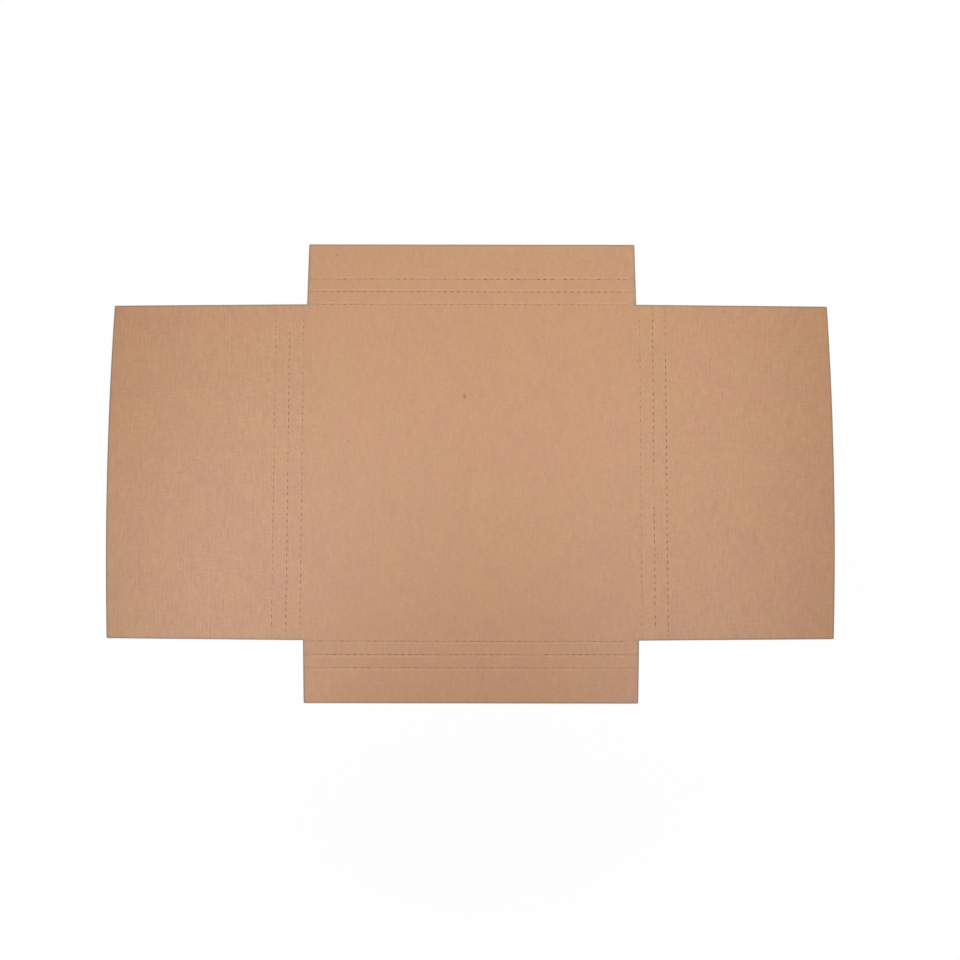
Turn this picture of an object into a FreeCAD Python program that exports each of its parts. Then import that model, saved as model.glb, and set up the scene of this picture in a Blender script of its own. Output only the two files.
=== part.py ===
import FreeCAD
import Part
import Sketcher
import os

# A flat, one-sheet record mailer of fine corrugated board: a nearly square base panel with
# two long side flaps and two short end flaps. Each flap has three parallel rows of perforating
# cuts, so that the box can be folded to different depths. The sheet lies with its underside
# on z = 0 and the middle of its base panel on the origin. X runs across the side flaps and
# Y along the flutes. Lengths are in millimetres.

sizeTable = {
    "board": (2.0, "thickness of the board"),
    "liner": (0.3, "thickness of each of the two facing papers"),
    "medium": (0.2, "wall of the fluted paper between them"),
    "flute_pitch": (3.8, "distance from flute to flute"),
    "crush": (1.4, "flutes pressed flat on each side of a crease or edge"),
    "panel_width": (322.0, "base panel, from side hinge to side hinge"),
    "panel_depth": (319.3, "base panel, from end hinge to end hinge"),
    "left_reach": (183.9, "left side flap, hinge to the middle of its outer edge"),
    "left_step": (13.3, "left side flap, crease to crease"),
    "right_reach": (182.3, "right side flap, hinge to the middle of its outer edge"),
    "right_step": (12.2, "right side flap, crease to crease"),
    "side_taper": (1.6, "side flap, narrowing of each end towards its outer edge"),
    "bow": (3.5, "side flap, rise of its outer edge in the middle"),
    "end_reach": (58.4, "end flap, hinge to outer edge"),
    "end_step": (12.4, "end flap, crease to crease"),
    "end_inset": (3.5, "end flap, set back from the side hinges at its root"),
    "end_taper": (1.4, "end flap, narrowing of each side towards its outer edge"),
    "corner_radius": (1.2, "rounding of the outer corners"),
    "cut_pitch": (6.4, "perforation, cut to cut"),
    "cut_length": (3.2, "perforation, length of a cut"),
    "cut_width": (0.7, "perforation, mouth of a cut"),
    "cut_depth": (1.5, "perforation, depth of a cut"),
    "cut_margin": (4.5, "perforation, plain board left at each end of a row"),
    "cut_lead": (0.3, "height by which the cutting rule's profile starts above the board"),
    "hinge_setback": (0.5, "innermost row of cuts, distance inside the hinge line"),
}

leastCut = 1e-3
angleSlack = 1e-6

document = FreeCAD.newDocument("record_mailer_blank")
sheet = document.addObject("Spreadsheet::Sheet", "sizes")
for row, (name, (value, note)) in enumerate(sizeTable.items(), start=1):
    sheet.set(f"A{row}", name)
    sheet.set(f"B{row}", str(value))
    sheet.set(f"C{row}", note)
    sheet.setAlias(f"B{row}", name)
document.recompute()


def newSketch(body, name, plane, offset=None):
    # A sketch on one of the body's own planes, moved along that plane's normal by an expression.
    sketch = body.newObject("Sketcher::SketchObject", name)
    support = [item for item in body.Origin.OriginFeatures if item.Role == plane]
    sketch.AttachmentSupport = [(support[0], "")]
    sketch.MapMode = "FlatFace"
    if offset:
        sketch.setExpression(".AttachmentOffset.Base.z", offset)
    return sketch


def pinPoint(sketch, geometry, end, place):
    # Two dimensions from the sketch's origin, each bound to its expression.
    for kind, expression in zip(("DistanceX", "DistanceY"), place):
        value = float(sketch.evalExpression(expression))
        index = sketch.addConstraint(Sketcher.Constraint(kind, -1, 1, geometry, end, value))
        sketch.setExpression(f"Constraints[{index}]", expression)


def startPoint(sketch, place):
    return FreeCAD.Vector(*[float(sketch.evalExpression(expression)) for expression in place], 0)


def drawPolygon(sketch, corners, crown=None, radius=None):
    # A closed outline through corners given as pairs of expressions. Its sides are straight,
    # apart from the last one where that is an arc through a crown, with a radius.
    first = sketch.GeometryCount
    last = first + len(corners) - 1
    points = [startPoint(sketch, corner) for corner in corners]
    for here, there in zip(points, points[1:]):
        sketch.addGeometry(Part.LineSegment(here, there), False)
    if crown:
        sketch.addGeometry(Part.Arc(points[-1], startPoint(sketch, crown), points[0]), False)
        value = float(sketch.evalExpression(radius))
        index = sketch.addConstraint(Sketcher.Constraint("Radius", last, value))
        sketch.setExpression(f"Constraints[{index}]", radius)
    else:
        sketch.addGeometry(Part.LineSegment(points[-1], points[0]), False)
    for index, corner in enumerate(corners):
        here = first + index
        before = here - 1 if index else last
        sketch.addConstraint(Sketcher.Constraint("Coincident", before, 2, here, 1))
        pinPoint(sketch, here, 1, corner)


def padOutline(body, sketch):
    pad = body.newObject("PartDesign::Pad", "Board")
    pad.Profile = sketch
    pad.setExpression("Length", "sizes.board")
    document.recompute()
    return pad


def roundCorners(body, pad, names):
    corners = body.newObject("PartDesign::Fillet", "RoundedCorners")
    corners.Base = (pad, names)
    corners.setExpression("Radius", "sizes.corner_radius")
    document.recompute()


def repeatPocket(body, pocket, direction, pitch, count, reverse=False):
    pattern = body.newObject("PartDesign::LinearPattern", pocket.Name + "Row")
    pattern.Refine = False
    pattern.Originals = [pocket]
    pattern.Direction = direction
    pattern.Reversed = reverse
    pattern.Mode = "Spacing"
    pattern.setExpression("Offset", pitch)
    pattern.setExpression("Occurrences", count)
    body.Tip = pattern
    document.recompute()


def checkedPocket(body, pocket, before):
    # A pocket that points away from the board takes nothing off and reports no error.
    document.recompute()
    if body.Shape.Volume > before - leastCut:
        raise RuntimeError(f"{body.Label}: {pocket.Name} cut nothing")


def perforate(body, name, plane, rows, span):
    # Rows of V-shaped cuts, side by side and square to the plane, centred on the origin.
    count = f"floor(({span} - 2 * sizes.cut_margin) / sizes.cut_pitch)"
    run = f"(({count} - 1) * sizes.cut_pitch + sizes.cut_length)"
    slope = "sizes.cut_width / 2 / sizes.cut_depth * (sizes.cut_depth + sizes.cut_lead)"
    sketch = newSketch(body, name + "Profile", plane, f"{run} / 2")
    for row in rows:
        drawPolygon(sketch, [
            (row, "sizes.board - sizes.cut_depth"),
            (f"{row} + {slope}", "sizes.board + sizes.cut_lead"),
            (f"{row} - {slope}", "sizes.board + sizes.cut_lead"),
        ])
    before = body.Shape.Volume
    pocket = body.newObject("PartDesign::Pocket", name)
    pocket.Refine = False
    pocket.Profile = sketch
    pocket.setExpression("Length", "sizes.cut_length")
    checkedPocket(body, pocket, before)
    repeatPocket(body, pocket, (sketch, ["N_Axis"]), "sizes.cut_pitch", count, reverse=True)


def drawFlute(sketch, start):
    # One pitch of the fluted paper: the channel above it and the channel below it.
    half = "sizes.flute_pitch / 2 - sizes.medium"
    above = f"({start})"
    below = f"({start} + sizes.flute_pitch / 2)"
    drawPolygon(sketch, [
        (above, "sizes.liner + sizes.medium"),
        (f"{above} + ({half})", "sizes.board - sizes.liner"),
        (f"{above} - ({half})", "sizes.board - sizes.liner"),
    ])
    drawPolygon(sketch, [
        (below, "sizes.board - sizes.liner - sizes.medium"),
        (f"{below} - ({half})", "sizes.liner"),
        (f"{below} + ({half})", "sizes.liner"),
    ])


def flute(body, name, plane, low, high, edge, depth=None):
    # Flute channels side by side between low and high. They start at an edge of the board and
    # run right through it, or to a depth.
    count = f"floor(({high} - ({low}) - 2 * sizes.crush) / sizes.flute_pitch - 0.5)"
    middle = f"({low} + {high}) / 2"
    start = f"{middle} - {count} * sizes.flute_pitch / 2 + sizes.flute_pitch / 4"
    sketch = newSketch(body, name + "Profile", plane, edge)
    drawFlute(sketch, start)
    before = body.Shape.Volume
    pocket = body.newObject("PartDesign::Pocket", name)
    pocket.Refine = False
    pocket.Profile = sketch
    if depth:
        pocket.setExpression("Length", depth)
    else:
        pocket.Type = "ThroughAll"
    checkedPocket(body, pocket, before)
    repeatPocket(body, pocket, (sketch, ["H_Axis"]), "sizes.flute_pitch", count)


def makeBasePanel():
    body = document.addObject("PartDesign::Body", "base_panel")
    sketch = newSketch(body, "Outline", "XY_Plane")
    right = "sizes.panel_width / 2"
    rear = "sizes.panel_depth / 2"
    drawPolygon(sketch, [
        (f"-({right})", f"-({rear})"),
        (right, f"-({rear})"),
        (right, rear),
        (f"-({right})", rear),
    ])
    padOutline(body, sketch)
    side = "(sizes.panel_width / 2 - sizes.hinge_setback)"
    end = "(sizes.panel_depth / 2 - sizes.hinge_setback)"
    perforate(body, "SideHingeCuts", "XZ_Plane", (f"-{side}", side), "sizes.panel_depth")
    perforate(body, "EndHingeCuts", "YZ_Plane", (f"-{end}", end),
              "(sizes.panel_width - 2 * sizes.end_inset)")
    return body


def verticalEdges(shape):
    # The outer corners of a flap, as names of the upright edges in the further half of it.
    middle = shape.BoundBox.Center.x
    names = []
    for number, edge in enumerate(shape.Edges, start=1):
        here, there = [vertex.Point for vertex in edge.Vertexes]
        upright = (there - here).cross(FreeCAD.Vector(0, 0, 1)).Length < angleSlack
        if upright and here.x > middle:
            names.append(f"Edge{number}")
    return names


def placeFlap(body, turn, axis, edge):
    body.Placement.Rotation = FreeCAD.Rotation(FreeCAD.Vector(0, 0, 1), turn)
    body.setExpression(f".Placement.Base.{axis}", edge)


def makeSideFlap(name, reach, step, turn, edge):
    # The flap's own X runs from its hinge to its outer edge, which is a shallow arc.
    body = document.addObject("PartDesign::Body", name)
    root = "(sizes.panel_depth / 2)"
    tip = "(sizes.panel_depth / 2 - sizes.side_taper)"
    corner = f"({reach} - sizes.bow)"
    radius = f"(({tip} ^ 2 + sizes.bow ^ 2) / (2 * sizes.bow))"
    sketch = newSketch(body, "Outline", "XY_Plane")
    drawPolygon(sketch, [(corner, tip), ("0", root), ("0", f"-{root}"), (corner, f"-{tip}")],
                crown=(reach, "0"), radius=radius)
    pad = padOutline(body, sketch)
    roundCorners(body, pad, verticalEdges(pad.Shape))
    creases = [f"({number} * {step} - sizes.hinge_setback)" for number in (1, 2)]
    perforate(body, "CreaseCuts", "XZ_Plane", creases, f"(2 * {tip})")
    zones = zip(["0"] + creases, creases + [corner])
    for number, (low, high) in enumerate(zones, start=1):
        flute(body, f"Flute{number}", "XZ_Plane", low, high, root)
    placeFlap(body, turn, "x", edge)
    return body


def makeEndFlap(name, turn, edge):
    # The flap's own X runs from its hinge to its outer edge, along the flutes.
    body = document.addObject("PartDesign::Body", name)
    reach = "sizes.end_reach"
    root = "(sizes.panel_width / 2 - sizes.end_inset)"
    tip = "(sizes.panel_width / 2 - sizes.end_inset - sizes.end_taper)"
    sketch = newSketch(body, "Outline", "XY_Plane")
    drawPolygon(sketch, [("0", f"-{root}"), (reach, f"-{tip}"), (reach, tip), ("0", root)])
    pad = padOutline(body, sketch)
    roundCorners(body, pad, verticalEdges(pad.Shape))
    creases = [f"({number} * sizes.end_step - sizes.hinge_setback)" for number in (1, 2)]
    perforate(body, "CreaseCuts", "XZ_Plane", creases, f"(2 * {tip})")
    flute(body, "Flute", "YZ_Plane", f"-{tip}", tip, reach,
          depth=f"{reach} - {creases[-1]} - sizes.crush")
    placeFlap(body, turn, "y", edge)
    return body


parts = [
    makeBasePanel(),
    makeSideFlap("left_side_flap", "sizes.left_reach", "sizes.left_step", 180,
                 "-sizes.panel_width / 2"),
    makeSideFlap("right_side_flap", "sizes.right_reach", "sizes.right_step", 0,
                 "sizes.panel_width / 2"),
    makeEndFlap("rear_end_flap", 90, "sizes.panel_depth / 2"),
    makeEndFlap("front_end_flap", -90, "-sizes.panel_depth / 2"),
]
document.recompute()

for item in document.Objects:
    if "Invalid" in item.State or "Error" in item.State:
        raise RuntimeError(f"{item.Name} failed: {item.State}")
for part in parts:
    if part.Shape.isNull() or not part.Shape.isValid() or len(part.Shape.Solids) != 1:
        raise RuntimeError(f"{part.Label} isn't one valid solid")

os.makedirs("parts", exist_ok=True)
for part in parts:
    part.Shape.exportStep(f"parts/{part.Label}.step")
    box = part.Shape.BoundBox
    print(f"{part.Label}: {part.Shape.Volume / 1000:.1f} cm3, {len(part.Shape.Faces)} faces, "
          f"x {box.XMin:.1f} to {box.XMax:.1f}, y {box.YMin:.1f} to {box.YMax:.1f}, "
          f"z {box.ZMin:.1f} to {box.ZMax:.1f}")
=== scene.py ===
import bpy
import bmesh
import math
from mathutils import Matrix, Vector, noise
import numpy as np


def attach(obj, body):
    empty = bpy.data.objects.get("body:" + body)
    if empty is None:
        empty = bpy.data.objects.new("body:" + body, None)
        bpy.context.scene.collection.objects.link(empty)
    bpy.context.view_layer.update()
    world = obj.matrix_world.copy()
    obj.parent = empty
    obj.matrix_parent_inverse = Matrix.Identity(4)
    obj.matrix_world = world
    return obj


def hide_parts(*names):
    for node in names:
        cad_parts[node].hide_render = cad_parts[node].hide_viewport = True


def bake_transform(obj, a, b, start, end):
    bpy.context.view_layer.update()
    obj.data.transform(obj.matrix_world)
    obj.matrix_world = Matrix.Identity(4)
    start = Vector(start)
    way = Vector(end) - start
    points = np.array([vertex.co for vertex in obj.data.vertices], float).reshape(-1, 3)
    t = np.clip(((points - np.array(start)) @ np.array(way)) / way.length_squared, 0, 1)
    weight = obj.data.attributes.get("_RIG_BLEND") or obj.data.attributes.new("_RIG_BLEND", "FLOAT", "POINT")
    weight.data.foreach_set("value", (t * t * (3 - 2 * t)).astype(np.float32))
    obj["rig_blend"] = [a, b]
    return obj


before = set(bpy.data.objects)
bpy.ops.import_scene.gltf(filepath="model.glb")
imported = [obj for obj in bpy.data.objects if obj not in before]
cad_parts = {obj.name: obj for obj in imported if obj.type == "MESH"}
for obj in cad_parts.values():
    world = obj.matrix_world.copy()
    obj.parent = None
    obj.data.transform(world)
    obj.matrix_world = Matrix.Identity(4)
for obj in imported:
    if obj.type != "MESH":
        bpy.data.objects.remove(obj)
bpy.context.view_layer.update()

# Lengths are written in millimetres and become metres when a vertex gets its place.
mm = 0.001

sheet = {
    "halfWidth": 161.0,       # middle of the base panel to a side hinge
    "halfDepth": 159.65,      # middle of the base panel to an end hinge
    "board": 2.0,
    "liner": 0.3,
    "medium": 0.2,
    "flutePitch": 3.8,
    "hingeSetback": 0.5,      # cuts lie this far inside a hinge
    "cornerRadius": 1.2,
    "washboard": 0.05,        # dip of the facing paper between two flutes
    "sag": 0.12,              # slow unevenness of the whole sheet
    "pinch": 0.28,            # board pressed thinner along its cut edges
    "pinchReach": 1.3,
    "rimShadeReach": 2.1,          # painted shade along the cut edges reaches this far in
    "columnsPerFlute": 8,
    "edgeRows": [-1, -0.9981, -0.9956, -0.9918],   # close rows at an edge, as shares of its half
    "sharpAngle": 38,
    "steep": 0.45,            # a face whose normal rises less than this is cut board
}

creases = {
    "reach": 1.4,             # half the width of a pressed line
    "hingeReach": 1.9,        # the same on the base panel's side of a hinge
    "bend": 1.2,              # a hinge bends over this much on both sides
    "cutPitch": 6.4,
    "cutLength": 3.2,
    "cutDepth": 1.2,
    "cutMargin": 4.5,
    "foldSpan": 1.3,          # half the width of the dent along a line
}

sideFlaps = {
    # strength says how clear each line's cuts are, and shift how far the lines lie further out
    "left_side": {"sign": -1, "reach": 183.9, "step": 13.3, "shift": 0.0,
                  "strength": (0.7, 1.15, 0.45)},
    "right_side": {"sign": 1, "reach": 182.3, "step": 12.2, "shift": 0.0,
                   "strength": (0.5, 0.88, 0.85)},
    "taper": 1.6,             # narrower by this on both sides at the outer edge
    "bow": 3.5,
    "dent": 0.05,
    "lip": 0.0,
    "lipAt": 0.9,             # from the line to its lip
    "line": 0.25,             # how strongly a line's painted shade and its lip's painted highlight show beside its cuts
    "cutShade": 0.75,           # and how much painted shade darkens the paper around a cut
    "uneven": 1.1,            # how much one cut differs from the next
    "cutHalfWidth": 0.26,
    "cutOpen": 0.72,          # the share of a cut's length that stands open
    "spread": 0.0,            # a line is this much wider on its outer side
    "rowStep": 9.0,
}

endFlaps = {
    "rear_end": {"sign": 1, "strength": (0.5, 1.0, 0.95), "shift": 0.3},
    "front_end": {"sign": -1, "strength": (0.8, 0.85, 0.75), "shift": 1.2},
    "reach": 58.4,
    "step": 12.4,
    "inset": 3.5,
    "taper": 1.4,
    "dent": 0.16,
    "lip": 0.04,
    "lipAt": 1.6,
    "line": 0.7,
    "cutShade": 0.35,
    "uneven": 1.6,
    "cutHalfWidth": 0.21,
    "cutOpen": 1.0,
    "spread": 1.1,
}


def smoothStep(value):
    value = min(1.0, max(0.0, value))
    return value * value * (3 - 2 * value)


def evenSteps(low, high, step):
    count = max(1, round((high - low) / step))
    return [low + (high - low) * index / count for index in range(count + 1)]


# The sheet's outline, as distances from a hinge and lengths along it.

def sideHalf(flap, distance):
    corner = flap["reach"] - sideFlaps["bow"]
    share = min(1.0, max(0.0, distance / corner))
    return sheet["halfDepth"] - sideFlaps["taper"] * share


def sideOuter(flap, along):
    # The outer edge of a side flap: a shallow arc with small round corners.
    corner = flap["reach"] - sideFlaps["bow"]
    tip = sheet["halfDepth"] - sideFlaps["taper"]
    radius = sheet["cornerRadius"]
    over = abs(along) - (tip - radius)
    if over > 0:
        return corner - radius + math.sqrt(max(0.0, radius ** 2 - over ** 2))
    return corner + sideFlaps["bow"] * (1 - (along / tip) ** 2)


def endHalf(distance):
    reach = endFlaps["reach"]
    radius = sheet["cornerRadius"]
    half = sheet["halfWidth"] - endFlaps["inset"]
    half -= endFlaps["taper"] * min(1.0, max(0.0, distance / reach))
    over = distance - (reach - radius)
    if over > 0:
        half -= radius - math.sqrt(max(0.0, radius ** 2 - over ** 2))
    return half


def freeEdge(x, y):
    # Distance from a point of the sheet to its nearest cut edge.
    beside = abs(x) - sheet["halfWidth"]
    beyond = abs(y) - sheet["halfDepth"]
    if beyond > 0:
        return min(endHalf(beyond) - abs(x), endFlaps["reach"] - beyond)
    if abs(x) > sheet["halfWidth"] - endFlaps["inset"]:
        flap = sideFlaps["left_side" if x < 0 else "right_side"]
        return min(sideHalf(flap, beside) - abs(y), sideOuter(flap, y) - beside)
    corner = sheet["halfWidth"] - endFlaps["inset"] - abs(x)
    return math.hypot(max(0.0, corner), -beyond)


def edgePinch(x, y):
    return sheet["pinch"] * smoothStep(1 - freeEdge(x, y) / sheet["pinchReach"])


# The board's two outer faces. share fades its waves out next to a pressed line.

def sagAt(x, y):
    return sheet["sag"] * (0.5 + 0.5 * noise.noise(Vector((x / 48, y / 66, 3.1))))


def waveAt(x, y):
    # 1 over a flute's crest and 0 between two crests, a little uneven from place to place.
    wander = 0.5 * noise.noise(Vector((x / 70, y / 90, 8.7)))
    return 0.5 + 0.5 * math.cos(2 * math.pi * (x + wander) / sheet["flutePitch"])


def washAt(x, y):
    uneven = 1.3 * noise.noise(Vector((x / 6, y / 19, 5.3)))
    uneven += noise.noise(Vector((x / 40, y / 60, 1.7)))
    strong = 0.55 + 0.45 * smoothStep((abs(x) - 130) / 70) + 0.25 * smoothStep(-y / 120)
    return sheet["washboard"] * strong * max(0.1, 1 + 0.8 * uneven)


def boardTop(x, y, share=1.0):
    dip = washAt(x, y) * (1 - waveAt(x, y)) * share + sheet["washboard"] * 0.4 * (1 - share)
    return sheet["board"] - sagAt(x, y) - dip - edgePinch(x, y)


def boardBottom(x, y, share=1.0):
    return washAt(x, y) * waveAt(x, y) * share + 0.5 * edgePinch(x, y)


def newBoard():
    bm = bmesh.new()
    for layer in ("rimShade", "fold", "lip"):
        bm.verts.layers.float.new(layer)
    return bm


def addSlab(bm, across, along, spot, top, bottom, marks=None):
    # A closed plate over a grid: spot gives a grid point's x and y, top and bottom its heights.
    # Marks tell the paint where painted shade falls along dents and around cuts and where a painted
    # highlight lies on lips; painted shade near the sheet's cut edges is set at every vertex.
    made = bmesh.ops.create_grid(bm, x_segments=len(across) - 1, y_segments=len(along) - 1,
                                 size=0.5)
    upper = made["verts"]
    faces = list({face for vert in upper for face in vert.link_faces})
    raised = bmesh.ops.extrude_face_region(bm, geom=faces)
    lower = [item for item in raised["geom"] if isinstance(item, bmesh.types.BMVert)]
    layers = bm.verts.layers.float
    for verts, height in ((upper, top), (lower, bottom)):
        for vert in verts:
            column = across[round((vert.co.x + 0.5) * (len(across) - 1))]
            row = along[round((vert.co.y + 0.5) * (len(along) - 1))]
            x, y = spot(column, row)
            vert.co = Vector((x, y, height(x, y, column, row))) * mm
            # Painted shade near the sheet's cut edges.
            vert[layers["rimShade"]] = smoothStep(1 - freeEdge(x, y) / sheet["rimShadeReach"])
            if marks:
                vert[layers["fold"]], vert[layers["lip"]] = marks(column, row)
    whole = {face for vert in upper + lower for face in vert.link_faces}
    bmesh.ops.recalc_face_normals(bm, faces=list(whole))


def cutRows(halfLength):
    # Where a perforated line needs vertices along its length: closer together at each cut's ends.
    pitch = creases["cutPitch"]
    half = creases["cutLength"] / 2
    count = int((2 * halfLength - 2 * creases["cutMargin"]) // pitch)
    middles = [(index - (count - 1) / 2) * pitch for index in range(count)]
    rows = [-halfLength, -halfLength + 0.3, -halfLength + 0.7, -halfLength + 1.3]
    for middle in middles:
        rows += [middle + step for step in (-half - 0.15, -half, 0.28 - half, -0.5,
                                            0.5, half - 0.28, half, half + 0.15)]
    rows += [halfLength - 1.3, halfLength - 0.7, halfLength - 0.3, halfLength]
    return middles, rows


def addCrease(bm, low, high, row, halfLength, place, look):
    # A pressed line with a row of cuts. Low and high are its borders and row is where the rule
    # came down, as distances from the hinge. place turns distance and length into x and y.
    middles, rows = cutRows(halfLength)
    half = creases["cutLength"] / 2
    strength = {}
    for index, middle in enumerate(middles):
        chance = noise.noise(Vector((index * 0.83, row * 0.71 + low, look["seed"])))
        slow = noise.noise(Vector((index * 0.13, row * 0.3, look["seed"] + 4.2)))
        ending = 0.2 + 0.8 * smoothStep((halfLength - abs(middle) - 5) / 12)
        level = look["strength"] * ending * (1 + look["uneven"] * (chance + 0.6 * slow))
        strength[index] = min(1.5, max(0.06, level))

    def cutAt(along):
        index = round(along / creases["cutPitch"] + (len(middles) - 1) / 2)
        if index not in strength:
            return 0.0, 0.5
        offset = abs(along - middles[index])
        reach = (half - 0.2) * look["cutOpen"] * (0.45 + 0.55 * min(1.0, strength[index]))
        return (strength[index] if offset < reach else 0.0), strength[index]

    wide = [step for step in evenSteps(low, high, 0.32) if abs(step - row) > 0.42]
    columns = sorted([(step, None) for step in wide]
                     + [(row + 0.3 * share, share) for share in (-1, -0.5, 0, 0.5, 1)])

    def distance(column, along):
        step, share = column
        if share is None:
            return step
        return row + share * look["cutHalfWidth"] * min(1.4, 0.45 + 0.6 * cutAt(along)[1])

    def marks(column, along):
        away = distance(column, along) - row
        broken = 0.6 + 0.9 * noise.noise(Vector((along / 11, row, look["seed"] + 1.3)))
        broken = min(1.0, max(0.0, broken))
        # Painted shade along the line, plus painted shade around each open cut.
        fold = math.exp(-(away / 0.55) ** 2)
        # The lip's shape, which raises the board and also places its painted highlight.
        lip = math.exp(-((away - look["lipAt"]) / 0.5) ** 2)
        cutShade = math.exp(-(away / 0.75) ** 2) * look["cutShade"] * min(1.0, cutAt(along)[0])
        return fold * (0.15 + 0.55 * broken) * look["line"] + cutShade, lip * broken * look["line"]

    def spot(column, along):
        return place(distance(column, along), along)

    def top(x, y, column, along):
        fold = smoothStep(1 - abs(distance(column, along) - row) / creases["foldSpan"])
        height = boardTop(x, y, 0.0) - look["dent"] * fold
        height += look["lip"] * marks(column, along)[1]
        share = 1.0 if column[1] is None else abs(column[1])
        return height - (1 - share) * creases["cutDepth"] * min(1.0, 1.4 * cutAt(along)[0])

    def bottom(x, y, column, along):
        fold = smoothStep(1 - abs(distance(column, along) - row) / creases["foldSpan"])
        share = 1.0 if column[1] is None else abs(column[1])
        groove = (1 - share) * 0.2 * min(1.0, cutAt(along)[0])
        return boardBottom(x, y, 0.0) + 0.35 * look["dent"] * fold + groove

    addSlab(bm, columns, rows, spot, top, bottom, marks)


def finishMesh(bm, name, body, materials):
    # Steep faces get the second material.
    bm.normal_update()
    for face in bm.faces:
        face.smooth = True
        face.material_index = 1 if abs(face.normal.z) < sheet["steep"] else 0
    mesh = bpy.data.meshes.new(name)
    bm.to_mesh(mesh)
    bm.free()
    mesh.set_sharp_from_angle(angle=math.radians(sheet["sharpAngle"]))
    for material in materials:
        mesh.materials.append(material)
    piece = bpy.data.objects.new(name, mesh)
    bpy.context.collection.objects.link(piece)
    if body:
        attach(piece, body)
    return piece


class Wire:
    # An output socket that can be used in Python sums.
    def __init__(self, paint, socket):
        self.paint = paint
        self.socket = socket

    def sum(self, operation, first, second):
        return self.paint.node("ShaderNodeMath", {"operation": operation}, {0: first, 1: second})

    def __add__(self, other):
        return self.sum("ADD", self, other)

    def __radd__(self, other):
        return self.sum("ADD", other, self)

    def __sub__(self, other):
        return self.sum("SUBTRACT", self, other)

    def __rsub__(self, other):
        return self.sum("SUBTRACT", other, self)

    def __mul__(self, other):
        return self.sum("MULTIPLY", self, other)

    def __rmul__(self, other):
        return self.sum("MULTIPLY", other, self)


class Paint:
    # The nodes of a material or of the world.
    def __init__(self, owner):
        self.owner = owner
        owner.use_nodes = True
        self.tree = owner.node_tree
        self.tree.nodes.clear()
        self.place = self.node("ShaderNodeTexCoord", output="Object")

    def node(self, kind, settings=None, sockets=None, output=0):
        item = self.tree.nodes.new(kind)
        for key, value in (settings or {}).items():
            if key == "stops":
                for stop in item.color_ramp.elements[1:]:
                    item.color_ramp.elements.remove(stop)
                for index, (position, colour) in enumerate(value):
                    if index:
                        item.color_ramp.elements.new(position)
                    item.color_ramp.elements[index].position = position
                    item.color_ramp.elements[index].color = (*colour, 1)
            else:
                setattr(item, key, value)
        for key, value in (sockets or {}).items():
            if isinstance(value, Wire):
                self.tree.links.new(value.socket, item.inputs[key])
            else:
                item.inputs[key].default_value = value
        return Wire(self, item.outputs[output]) if len(item.outputs) else item

    def stretched(self, scale):
        return self.node("ShaderNodeMapping", {"vector_type": "POINT"},
                         {"Vector": self.place, "Scale": scale})

    def cloud(self, size, detail=2.0, rough=0.55, shape=(1, 1, 1)):
        # Noise around 0, between about -0.5 and 0.5, with features of this size in mm.
        scale = tuple(1000 / size * side for side in shape)
        spread = self.node("ShaderNodeTexNoise", {"noise_dimensions": "3D"},
                           {"Vector": self.stretched(scale), "Scale": 1.0, "Detail": detail,
                            "Roughness": rough})
        return spread - 0.5

    def ramp(self, value, low, high, start=0.0, end=1.0):
        return self.node("ShaderNodeMapRange", {"interpolation_type": "SMOOTHSTEP"},
                         {"Value": value, "From Min": low, "From Max": high,
                          "To Min": start, "To Max": end})

    def mixed(self, share, first, second, blend="MIX"):
        return self.node("ShaderNodeMix", {"data_type": "RGBA", "blend_type": blend,
                                           "clamp_factor": True},
                         {0: share, 6: first, 7: second}, output=2)

    def mark(self, name):
        return self.node("ShaderNodeAttribute", {"attribute_name": name}, output="Fac")

    def seen(self):
        # 1 where the background is looked at: by the camera, by reflection or through glass.
        kinds = [self.node("ShaderNodeLightPath", output="Is " + kind + " Ray")
                 for kind in ("Camera", "Glossy", "Transmission")]
        return self.node("ShaderNodeMath", {"operation": "ADD", "use_clamp": True},
                         {0: kinds[0] + kinds[1], 1: kinds[2]})

    def tinted(self, colour, level):
        # The colour times a number that varies over the surface.
        grey = self.node("ShaderNodeCombineColor", None, {0: level, 1: level, 2: level})
        return self.mixed(1.0, colour, grey, "MULTIPLY")

    def finish(self, colour, rough, height, depth, specular=0.18):
        # depth is the bump's height in mm.
        normal = self.node("ShaderNodeBump", None, {"Height": height, "Strength": 1.0,
                                                    "Distance": depth * mm})
        shader = self.node("ShaderNodeBsdfPrincipled", None,
                           {"Base Color": colour, "Roughness": rough, "Normal": normal,
                            "Specular IOR Level": specular})
        self.node("ShaderNodeOutputMaterial", None, {"Surface": shader})
        return self.owner


kraft = {
    "pink": (0.578, 0.322, 0.193, 1),
    "yellow": (0.580, 0.334, 0.181, 1),
    # dark flecks and stains, and the painted shade along pressed lines and around cuts
    "fleckAndShade": (0.300, 0.160, 0.095, 1),
    "pale": (0.700, 0.450, 0.300, 1),
    # painted shade along the sheet's cut edges
    "rimShade": (0.300, 0.240, 0.182, 1),
    # painted highlight on the lip beside a pressed line
    "lip": (0.680, 0.420, 0.290, 1),
    "grain": 0.030,
    "marks": [               # x, y, radius in mm and strength of small stains
        (-6.5, 70.8, 2.6, 0.75),
        (-117.0, 27.3, 1.6, 0.45),
        (-139.7, 31.1, 1.3, 0.35),
        (-129.0, 207.8, 1.7, 0.45),
        (157.8, 104.9, 1.5, 0.40),
        (-66.2, 112.7, 1.8, 0.25),
    ],
}


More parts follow.
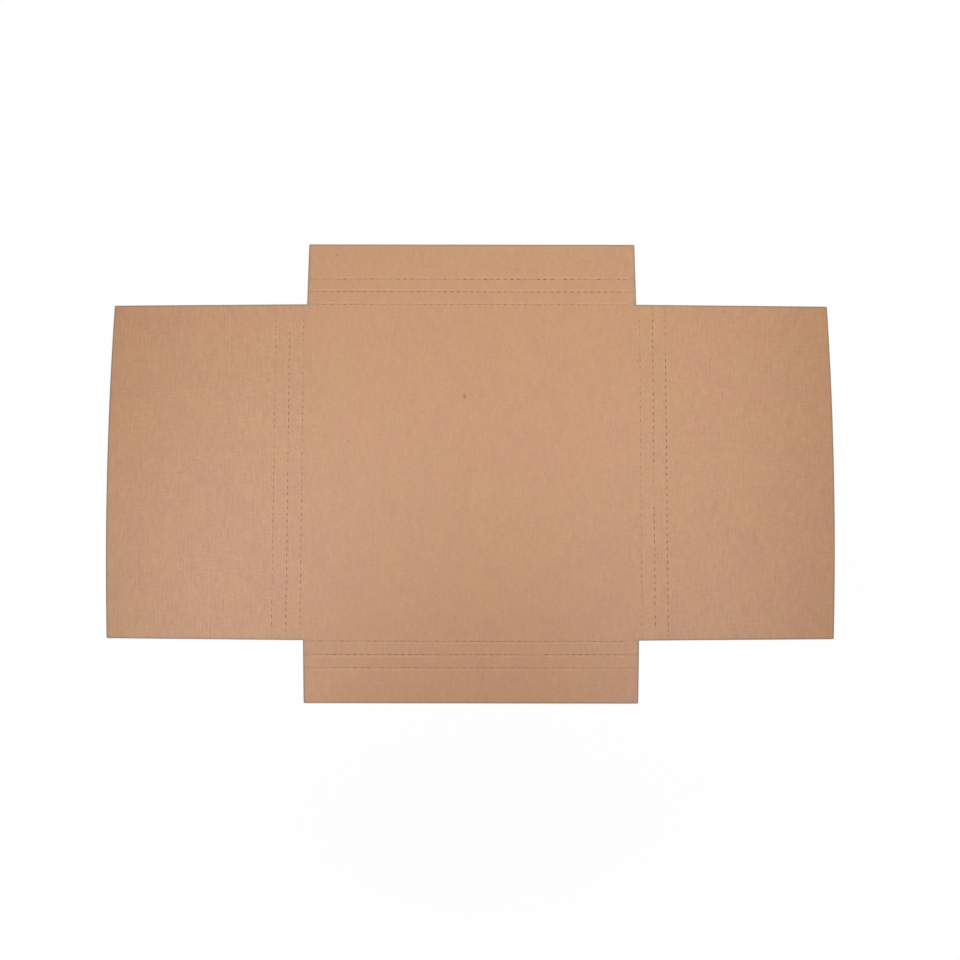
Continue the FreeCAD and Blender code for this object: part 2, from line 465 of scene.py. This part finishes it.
def makeFacePaint():
    paint = Paint(bpy.data.materials.new("kraft facing paper"))
    mottle = paint.cloud(8, 3, 0.6)
    patches = paint.cloud(30, 2, 0.5)
    drift = paint.cloud(150, 1, 0.5)
    fibre = paint.cloud(1.7, 3, 0.65, (0.5, 1, 1))
    fine = paint.cloud(1.0, 2, 0.6)
    flutes = paint.cloud(1.9, 1, 0.5, (1, 0.14, 1))
    across = paint.cloud(1.8, 1, 0.5, (0.2, 1, 1))
    soft = paint.cloud(5, 2, 0.6, (1, 0.5, 1))
    side = paint.node("ShaderNodeSeparateXYZ", None, {0: paint.place})
    outward = paint.node("ShaderNodeMath", {"operation": "ABSOLUTE"}, {0: side})
    busy = paint.ramp(outward, 0.12, 0.19, 0.5, 1.0)
    tone = (mottle * 0.7 + patches * 1.0 + drift * 0.6) * (busy * 0.5 + 0.5)
    colour = paint.mixed(paint.ramp(tone, -0.30, 0.30), kraft["pink"], kraft["yellow"])
    level = 1 + fibre * 0.17 + fine * 0.19 + soft * 0.10 + mottle * 0.03 + patches * 0.04
    level = level + (flutes * 0.20 + across * 0.14 + fine * 0.10) * busy
    colour = paint.tinted(colour, level)
    darkFleck = paint.ramp(paint.cloud(2.1, 1, 0.5, (0.6, 1.2, 1)), 0.21, 0.27)
    colour = paint.mixed(darkFleck * 0.36, colour, kraft["fleckAndShade"])
    paleFleck = paint.ramp(paint.cloud(2.3, 1, 0.5, (1, 0.7, 1.3)), 0.22, 0.29)
    colour = paint.mixed(paleFleck * 0.32, colour, kraft["pale"])
    for x, y, radius, strength in kraft["marks"]:
        away = paint.node("ShaderNodeVectorMath", {"operation": "DISTANCE"},
                          {0: paint.place, 1: (x * mm, y * mm, 0.002)}, output="Value")
        ragged = away * 1000 - mottle * radius * 1.6 - fibre * radius
        stain = paint.ramp(ragged, radius * 0.25, radius * 1.15, strength, 0)
        colour = paint.mixed(stain, colour, kraft["fleckAndShade"])
    fold = paint.mark("fold")
    lip = paint.mark("lip")
    rimShade = paint.mark("rimShade")
    # Painted highlight on the lip beside each pressed line.
    colour = paint.mixed(lip * 0.85, colour, kraft["lip"])
    # Painted shade along each pressed line and around its cuts.
    colour = paint.mixed(fold * 0.26, colour, kraft["fleckAndShade"])
    # Painted shade along the sheet's cut edges.
    colour = paint.mixed(rimShade * (0.95 + mottle), colour, kraft["rimShade"])
    rough = 0.86 + fibre * 0.15
    return paint.finish(colour, rough, fibre + fine * 0.6 + soft * 1.2, kraft["grain"])


def makeCutPaint():
    paint = Paint(bpy.data.materials.new("kraft cut edge"))
    fibre = paint.cloud(0.35, 3, 0.7)
    level = 0.82 + fibre * 0.35
    colour = paint.tinted(kraft["pink"], level)
    return paint.finish(colour, 0.92, fibre, 0.05)


def makeFlutePaint():
    paint = Paint(bpy.data.materials.new("kraft fluted paper"))
    fibre = paint.cloud(0.8, 3, 0.65, (1, 0.4, 1))
    level = 0.74 + fibre * 0.22
    colour = paint.tinted(kraft["yellow"], level)
    return paint.finish(colour, 0.92, fibre, 0.03)


facePaint = makeFacePaint()
cutPaint = makeCutPaint()
flutePaint = makeFlutePaint()
boardPaints = [facePaint, cutPaint]
print("materials made")


basePanel = {"rowStep": 10.0}


def makeBasePanel():
    bm = newBoard()
    side = sheet["halfWidth"] - creases["hingeReach"]
    end = sheet["halfDepth"] - creases["hingeReach"]
    fine = sheet["flutePitch"] / sheet["columnsPerFlute"]

    def share(x, y):
        return smoothStep((side - abs(x)) / 1.5) * smoothStep((end - abs(y)) / 1.5)

    def top(x, y, column, row):
        return boardTop(x, y, share(x, y))

    def bottom(x, y, column, row):
        return boardBottom(x, y, share(x, y))

    rows = [-end, 0.5 - end, 1.0 - end] + evenSteps(1.6 - end, end - 1.6, basePanel["rowStep"])
    rows += [end - 1.0, end - 0.5, end]
    addSlab(bm, evenSteps(-side, side, fine), rows, lambda x, y: (x, y), top, bottom)
    root = sheet["halfWidth"] - endFlaps["inset"]
    for across in ((-side, -root), (root, side)):            # beside the end flaps' roots
        for along in ((-sheet["halfDepth"], -end), (end, sheet["halfDepth"])):
            addSlab(bm, evenSteps(*across, 0.4), evenSteps(*along, 0.3), lambda x, y: (x, y),
                    top, bottom)
    return finishMesh(bm, "base_board", "base_panel", boardPaints)


def pressedLines(step, spread, shift):
    # The three pressed lines of a flap: low border, high border and row, from the hinge.
    back = sheet["hingeSetback"]
    reach = creases["reach"]
    lines = [(-creases["hingeReach"], reach + spread, shift - back)]
    for number in (1, 2):
        row = number * step - back + shift
        lines.append((row - reach, row + reach + spread, row))
    return lines


def makeLines(name, flap, kind, halfLength, place, middle, axis):
    # The innermost line bends with its joint, and the other two ride on the flap.
    body = name + "_flap"
    step = flap["step"] if "step" in flap else kind["step"]
    lines = pressedLines(step, kind["spread"], flap["shift"])
    look = {"seed": 5.0 + 3 * flap["sign"] + kind["spread"]}
    for key in ("dent", "lip", "lipAt", "line", "cutShade", "uneven", "cutHalfWidth", "cutOpen"):
        look[key] = kind[key]
    for number, (low, high, row) in enumerate(lines):
        bm = newBoard()
        look["strength"] = flap["strength"][number]
        addCrease(bm, low, high, row, halfLength, place, look)
        if number:
            finishMesh(bm, f"{name}_crease_{number}", body, boardPaints)
            continue
        hinge = finishMesh(bm, f"{name}_hinge", None, boardPaints)
        bend = flap["sign"] * creases["bend"]
        start, end = Vector((0, 0, sheet["board"])), Vector((0, 0, sheet["board"]))
        start[axis] = middle - bend
        end[axis] = middle + bend
        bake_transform(hinge, "base_panel", body, start=tuple(start * mm), end=tuple(end * mm))
    return lines


def addZone(bm, part, across, along, spot, share, crush, solid=False):
    # One layer of the board: the facing or backing paper, or the fluted paper between them.
    board = sheet["board"]
    liner = board / 2 if solid else sheet["liner"]
    if part == "facing":
        def top(x, y, column, row):
            return boardTop(x, y, share(x, y))

        def bottom(x, y, column, row):
            return boardTop(x, y, share(x, y)) - liner
    elif part == "backing":
        def top(x, y, column, row):
            return boardBottom(x, y, share(x, y)) + liner

        def bottom(x, y, column, row):
            return boardBottom(x, y, share(x, y))
    else:
        wall = sheet["medium"]

        def wave(x, y):
            phase = 2 * math.pi * x / sheet["flutePitch"]
            span = (board - 2 * sheet["liner"] - wall) / 2 - 0.07 - 0.75 * edgePinch(x, y)
            return board / 2 - 0.04 + span * math.cos(phase) * crush(x, y)

        def thick(x):
            # A sloping wall is thicker when it is measured straight up.
            phase = 2 * math.pi * x / sheet["flutePitch"]
            return wall / 2 * math.hypot(1, 0.9 * math.sin(phase))

        def top(x, y, column, row):
            return wave(x, y) + thick(x)

        def bottom(x, y, column, row):
            return wave(x, y) - thick(x)
    addSlab(bm, across, along, spot, top, bottom)


def makeSideFlap(name):
    flap = sideFlaps[name]
    sign = flap["sign"]
    corner = flap["reach"] - sideFlaps["bow"]

    def place(distance, along):
        scale = sideHalf(flap, distance) / sheet["halfDepth"] if abs(along) > 155 else 1
        return sign * (sheet["halfWidth"] + distance), along * scale

    lines = makeLines(name, flap, sideFlaps, sheet["halfDepth"], place,
                      sign * sheet["halfWidth"], 0)
    ends = sheet["edgeRows"]
    rows = ends + evenSteps(-0.985, 0.985, sideFlaps["rowStep"] / 158)
    rows += [-value for value in ends[::-1]]
    zones = [(lines[0][1], lines[1][0]), (lines[1][1], lines[2][0]), (lines[2][1], corner)]

    def crush(x, y):
        return smoothStep((freeOuter(x, y) - 0.6) / 1.2)

    def freeOuter(x, y):
        return sideOuter(flap, y) - (abs(x) - sheet["halfWidth"])

    for part in ("facing", "backing", "fluting"):
        bm = newBoard()
        for low, high in zones:
            last = high == corner

            def spot(distance, row):
                along = row * sideHalf(flap, distance)
                if last and distance > high - 4:
                    distance += (distance - high + 4) / 4 * (sideOuter(flap, along) - high)
                return sign * (sheet["halfWidth"] + distance), along

            def share(x, y):
                distance = abs(x) - sheet["halfWidth"]
                near = distance - low if last else min(distance - low, high - distance)
                return smoothStep(near / 1.5)

            fluting = part == "fluting"
            fine = sheet["flutePitch"] / (14 if fluting else sheet["columnsPerFlute"])
            addZone(bm, part, evenSteps(low, high, fine),
                    [-0.9985, -0.995, -0.985, 0.985, 0.995, 0.9985] if fluting else rows,
                    spot, share, crush)
        finishMesh(bm, f"{name}_{part}", name + "_flap",
                   [flutePaint, cutPaint] if part == "fluting" else boardPaints)


def makeEndFlap(name):
    flap = endFlaps[name]
    sign = flap["sign"]
    reach = endFlaps["reach"]
    root = sheet["halfWidth"] - endFlaps["inset"]

    def place(distance, along):
        scale = endHalf(distance) / root if abs(along) > 155 else 1
        return along * scale, sign * (sheet["halfDepth"] + distance)

    lines = makeLines(name, flap, endFlaps, root, place, sign * sheet["halfDepth"], 1)
    zones = [(lines[0][1], lines[1][0]), (lines[1][1], lines[2][0]), (lines[2][1], reach)]
    ends = sheet["edgeRows"]

    def crush(x, y):
        return smoothStep((endHalf(abs(y) - sheet["halfDepth"]) - abs(x) - 0.6) / 1.2)

    def spot(distance, row):
        return row * endHalf(distance), sign * (sheet["halfDepth"] + distance)

    for part in ("facing", "backing", "fluting"):
        bm = newBoard()
        for low, high in zones:
            last = high == reach
            if part == "fluting" and not last:
                continue

            def share(x, y):
                distance = abs(y) - sheet["halfDepth"]
                near = distance - low if last else min(distance - low, high - distance)
                return smoothStep(near / 1.5)

            fluting = part == "fluting"
            fine = sheet["flutePitch"] / (14 if fluting else sheet["columnsPerFlute"]) / root
            across = evenSteps(low, high - 2.0, 8.0) if last else evenSteps(low, high, 4.0)
            if fluting:
                across = [low, high - 6, high - 1.4, high - 0.8, high - 0.15]
            elif last:
                across += [high - step for step in (1.3, 1.0, 0.7, 0.4, 0.2, 0.06, 0)]
            along = evenSteps(-0.9985, 0.9985, fine)
            if not fluting:
                along = ends + evenSteps(-0.985, 0.985, fine) + [-value for value in ends[::-1]]
            addZone(bm, part, across, along, spot, share, crush, solid=not last)
        finishMesh(bm, f"{name}_{part}", name + "_flap",
                   [flutePaint, cutPaint] if part == "fluting" else boardPaints)


base = makeBasePanel()
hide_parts("base_panel")
print("base panel made")
for name in ("left_side", "right_side"):
    makeSideFlap(name)
    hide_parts(name + "_flap")
    print(name, "flap made")
for name in ("rear_end", "front_end"):
    makeEndFlap(name)
    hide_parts(name + "_flap")
    print(name, "flap made")


camera = {"target": (8.19, -8.87, 2.0), "distance": 1261.1, "elevation": 85.156, "roll": 0.081,
          "lens": 50}


def makeCamera():
    data = bpy.data.cameras.new("photo_camera")
    data.lens = camera["lens"]
    data.sensor_width = 36
    item = bpy.data.objects.new("photo_camera", data)
    rise = math.radians(camera["elevation"])
    back = Vector((0, -math.cos(rise), math.sin(rise))) * camera["distance"]
    item.location = (Vector(camera["target"]) + back) * mm
    turn = Matrix.Rotation(math.radians(90) - rise, 4, "X")
    turn = turn @ Matrix.Rotation(math.radians(camera["roll"]), 4, "Z")
    item.rotation_euler = turn.to_euler()
    bpy.context.collection.objects.link(item)
    bpy.context.scene.camera = item


light = {
    "world": 0.28,            # as a lamp; it is white where it is seen
    "height": 1.7,
    "soft": 0.16,
    "lamps": [                # place, aim, cone in degrees and red, green and blue power
        {"name": "rear_lamp", "at": (0.427, 1.101), "aim": (-0.347, -0.462), "cone": 78.5,
         "power": (80.0, 66.6, 38.4)},
        {"name": "front_lamp", "at": (0.707, -0.675), "aim": (0.024, 0.210), "cone": 25.7,
         "power": (56.3, 68.9, 94.3)},
        {"name": "left_lamp", "at": (0.236, -1.552), "aim": (-0.251, -0.194), "cone": 11.7,
         "power": (79.5, 96.5, 138.5)},
        {"name": "right_lamp", "at": (-0.375, -1.548), "aim": (0.216, -0.195), "cone": 11.3,
         "power": (60.8, 74.1, 136.0)},
        {"name": "window_lamp", "at": (0.582, -0.686), "aim": (-0.234, -0.041), "cone": 15.9,
         "power": (26.1, 31.6, 53.5)},
    ],
    "floor": 0.98,
    "glow": 0.96,             # how white the floor is near the blank, and past it at glowReach
    "glowReach": (0.32, 0.52),
    "floorGap": 0.0002,
    "floorHalf": 6.0,
}


def makeFloor():
    bm = bmesh.new()
    bmesh.ops.create_grid(bm, x_segments=1, y_segments=1, size=light["floorHalf"])
    mesh = bpy.data.meshes.new("floor")
    bm.to_mesh(mesh)
    bm.free()
    floor = bpy.data.objects.new("floor", mesh)
    floor.location.z = -light["floorGap"]
    bpy.context.collection.objects.link(floor)
    paint = Paint(bpy.data.materials.new("white floor"))
    diffuse = paint.node("ShaderNodeBsdfDiffuse", None, {"Color": (light["floor"],) * 3 + (1,)})
    glow = paint.node("ShaderNodeEmission", None, {"Color": (1, 1, 1, 1), "Strength": 1.0})
    spread = paint.node("ShaderNodeVectorMath", {"operation": "LENGTH"},
                        {0: paint.place}, output="Value")
    share = paint.ramp(spread, *light["glowReach"], light["glow"], 1.0)
    both = paint.node("ShaderNodeMixShader", None, {0: paint.seen() * share, 1: diffuse, 2: glow})
    paint.node("ShaderNodeOutputMaterial", None, {"Surface": both})
    mesh.materials.append(paint.owner)


def makeLight():
    world = bpy.data.worlds.new("studio")
    bpy.context.scene.world = world
    paint = Paint(world)
    level = light["world"] + paint.seen() * (1 - light["world"])
    glow = paint.node("ShaderNodeBackground", None, {"Color": (1, 1, 1, 1), "Strength": level})
    paint.node("ShaderNodeOutputWorld", None, {"Surface": glow})
    for lamp in light["lamps"]:
        data = bpy.data.lights.new(lamp["name"], "SPOT")
        data.energy = max(lamp["power"])
        data.color = [part / data.energy for part in lamp["power"]]
        data.spot_size = math.radians(lamp["cone"])
        data.spot_blend = 1
        data.shadow_soft_size = light["soft"]
        item = bpy.data.objects.new(lamp["name"], data)
        item.location = (*lamp["at"], light["height"])
        beam = Vector((*lamp["aim"], 0)) - item.location
        item.rotation_euler = beam.to_track_quat("-Z", "Y").to_euler()
        bpy.context.collection.objects.link(item)


makeCamera()
makeFloor()
makeLight()
bpy.context.scene.view_settings.view_transform = "Standard"
print("camera, floor and light made")
